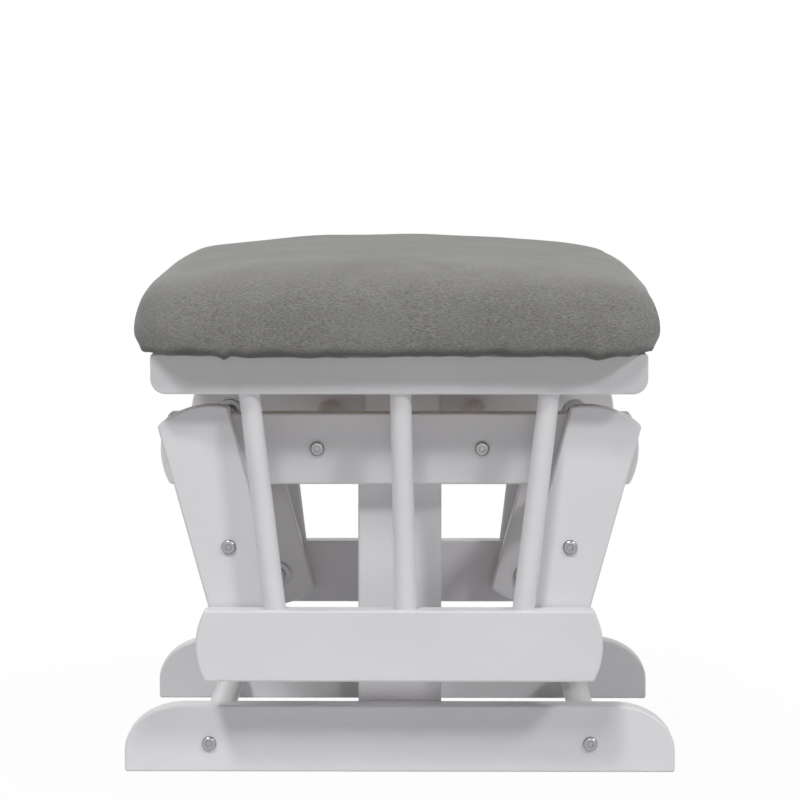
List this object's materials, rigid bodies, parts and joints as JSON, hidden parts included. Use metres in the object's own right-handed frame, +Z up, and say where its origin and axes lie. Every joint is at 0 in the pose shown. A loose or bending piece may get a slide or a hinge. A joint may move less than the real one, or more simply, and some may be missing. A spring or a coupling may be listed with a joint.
{
  "type": "glider ottoman",
  "caption": "Footstool with a plush cushion on spindled side panels, hung from swinging arms on a white wooden base, so the seat glides and tilts.",
  "frame": {"origin": "on the floor, in the middle between the two runners", "axes": "+X is the glide direction towards the right of the pictured side, +Y points across to the rear side, +Z is up"},
  "size_m": [0.4, 0.476, 0.386],
  "materials": {
    "white_paint": "white satin paint on smooth hardwood",
    "bare_wood": "unpainted pine and plywood",
    "bolt_steel": "zinc plated steel",
    "nylon": "natural white nylon",
    "plush": "mid grey short pile plush"
  },
  "bodies": {
    "base": {"runner_front": "white_paint", "runner_rear": "white_paint", "post_front": "white_paint", "post_rear": "white_paint", "beam_front": "white_paint", "beam_rear": "white_paint", "stretcher_left": "white_paint", "stretcher_right": "white_paint", "beam_dowel_left": "white_paint", "beam_dowel_right": "white_paint", "stretcher_bolt_left_front": "bolt_steel", "stretcher_bolt_left_rear": "bolt_steel", "stretcher_bolt_right_front": "bolt_steel", "stretcher_bolt_right_rear": "bolt_steel", "beam_bolt_left_front": "bolt_steel", "beam_bolt_left_rear": "bolt_steel", "beam_bolt_right_front": "bolt_steel", "beam_bolt_right_rear": "bolt_steel", "beam_bush_left_front": "nylon", "beam_bush_left_rear": "nylon", "beam_bush_right_front": "nylon", "beam_bush_right_rear": "nylon"},
    "left_arms": {"arm_left_front": "white_paint", "arm_left_rear": "white_paint", "arm_dowel_left": "white_paint", "arm_bolt_left_front": "bolt_steel", "arm_bolt_left_rear": "bolt_steel", "upper_pivot_bolt_left_front": "bolt_steel", "upper_pivot_bolt_left_rear": "bolt_steel", "arm_bush_left_front": "nylon", "arm_bush_left_rear": "nylon"},
    "right_arms": {"arm_right_front": "white_paint", "arm_right_rear": "white_paint", "arm_dowel_right": "white_paint", "arm_bolt_right_front": "bolt_steel", "arm_bolt_right_rear": "bolt_steel", "upper_pivot_bolt_right_front": "bolt_steel", "upper_pivot_bolt_right_rear": "bolt_steel", "arm_bush_right_front": "nylon", "arm_bush_right_rear": "nylon", "lower_pivot_bolt_right_front": "bolt_steel", "lower_pivot_bolt_right_rear": "bolt_steel"},
    "seat": {"lower_pivot_bolt_left_front": "bolt_steel", "lower_pivot_bolt_left_rear": "bolt_steel", "top_rail_front": "white_paint", "top_rail_rear": "white_paint", "lower_rail_front": "white_paint", "lower_rail_rear": "white_paint", "spindle_left_front": "white_paint", "spindle_middle_front": "white_paint", "spindle_right_front": "white_paint", "spindle_left_rear": "white_paint", "spindle_middle_rear": "white_paint", "spindle_right_rear": "white_paint", "end_rail_left": "white_paint", "end_rail_right": "white_paint", "cleat_front": "bare_wood", "cleat_rear": "bare_wood", "seat_board": "bare_wood", "cushion": "plush"}
  },
  "joints": [
    {"name": "left_arm_swing", "type": "hinge", "parent": "base", "child": "left_arms", "pos_m": [-0.141, 0, 0.2363], "axis": [0, 1, 0], "range_deg": [-24, 22]},
    {"name": "right_arm_swing", "type": "hinge", "parent": "base", "child": "right_arms", "pos_m": [0.141, 0, 0.2363], "axis": [0, 1, 0], "range_deg": [-24, 22]},
    {"name": "seat_swing", "type": "hinge", "parent": "left_arms", "child": "seat", "pos_m": [-0.1033, 0, 0.0993], "axis": [0, 1, 0], "range_deg": [-30, 33]}
  ],
  "couplings": [
    {"joint": "right_arm_swing", "follows": "left_arm_swing", "ratio": 0.99},
    {"joint": "seat_swing", "follows": "left_arm_swing", "ratio": -1.355}
  ]
}
